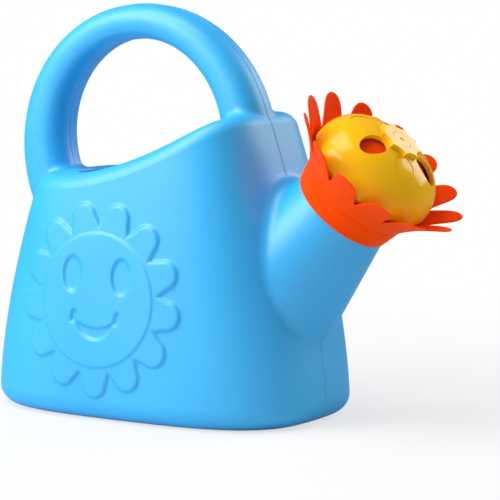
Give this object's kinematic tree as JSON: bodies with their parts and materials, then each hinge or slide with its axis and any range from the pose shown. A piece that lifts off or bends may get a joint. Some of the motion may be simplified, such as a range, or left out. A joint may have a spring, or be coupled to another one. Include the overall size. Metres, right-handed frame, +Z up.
{
  "type": "toy watering can",
  "caption": "Child's plastic watering can with an arched handle, a saddle-shaped open top, a smiling sun in relief and a petalled rose whose dome turns to open.",
  "frame": {"origin": "centre of the flat base, where the can stands", "axes": "+X forward towards the spout, +Y to the can's left, +Z up"},
  "size_m": [0.2509, 0.121, 0.2065],
  "materials": {
    "blue_plastic": "satin blow-moulded plastic with light scuffs",
    "orange_plastic": "smooth moulded plastic",
    "sieve_plastic": "smooth moulded plastic",
    "yellow_plastic": "polished moulded plastic",
    "pin_plastic": "polished moulded plastic",
    "clip_plastic": "plain moulded plastic"
  },
  "bodies": {
    "can": {"can_body": "blue_plastic"},
    "rose": {"petal_collar": "orange_plastic", "spray_sieve": "sieve_plastic"},
    "dome": {"rose_dome": "yellow_plastic", "pivot_pin": "pin_plastic", "pin_clip": "clip_plastic"}
  },
  "joints": [
    {"name": "rose_pull", "type": "slide", "parent": "can", "child": "rose", "axis": [0.6782, 0, 0.7349], "range_m": [0, 0.016]},
    {"name": "dome_turn", "type": "hinge", "parent": "rose", "child": "dome", "pos_m": [0.10065, 0, 0.1073], "axis": [0.6782, 0, 0.7349], "range_deg": [0, 60]}
  ]
}
